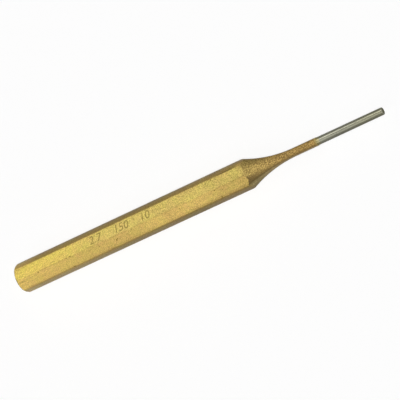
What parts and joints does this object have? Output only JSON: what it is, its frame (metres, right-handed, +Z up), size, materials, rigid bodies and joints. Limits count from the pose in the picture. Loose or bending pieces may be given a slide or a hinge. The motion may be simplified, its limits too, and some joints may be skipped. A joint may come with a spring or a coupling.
{
  "type": "pin punch",
  "caption": "Octagonal pin punch: chamfered striking end, lacquered shank, concave taper and a slim round ground pin for driving out cotter and split pins.",
  "frame": {"origin": "on the surface that the punch lies on, midway between the striking face and the pin's end", "axes": "+X along the tool's axis from the striking face to the pin's end, +Z up from the flat that the shank lies on"},
  "size_m": [0.15, 0.0102, 0.0102],
  "materials": {
    "ground_steel": "satin",
    "gold_lacquer": "satin"
  },
  "bodies": {
    "root": {"steel_blank": "ground_steel", "lacquer_coat": "gold_lacquer"}
  },
  "joints": []
}
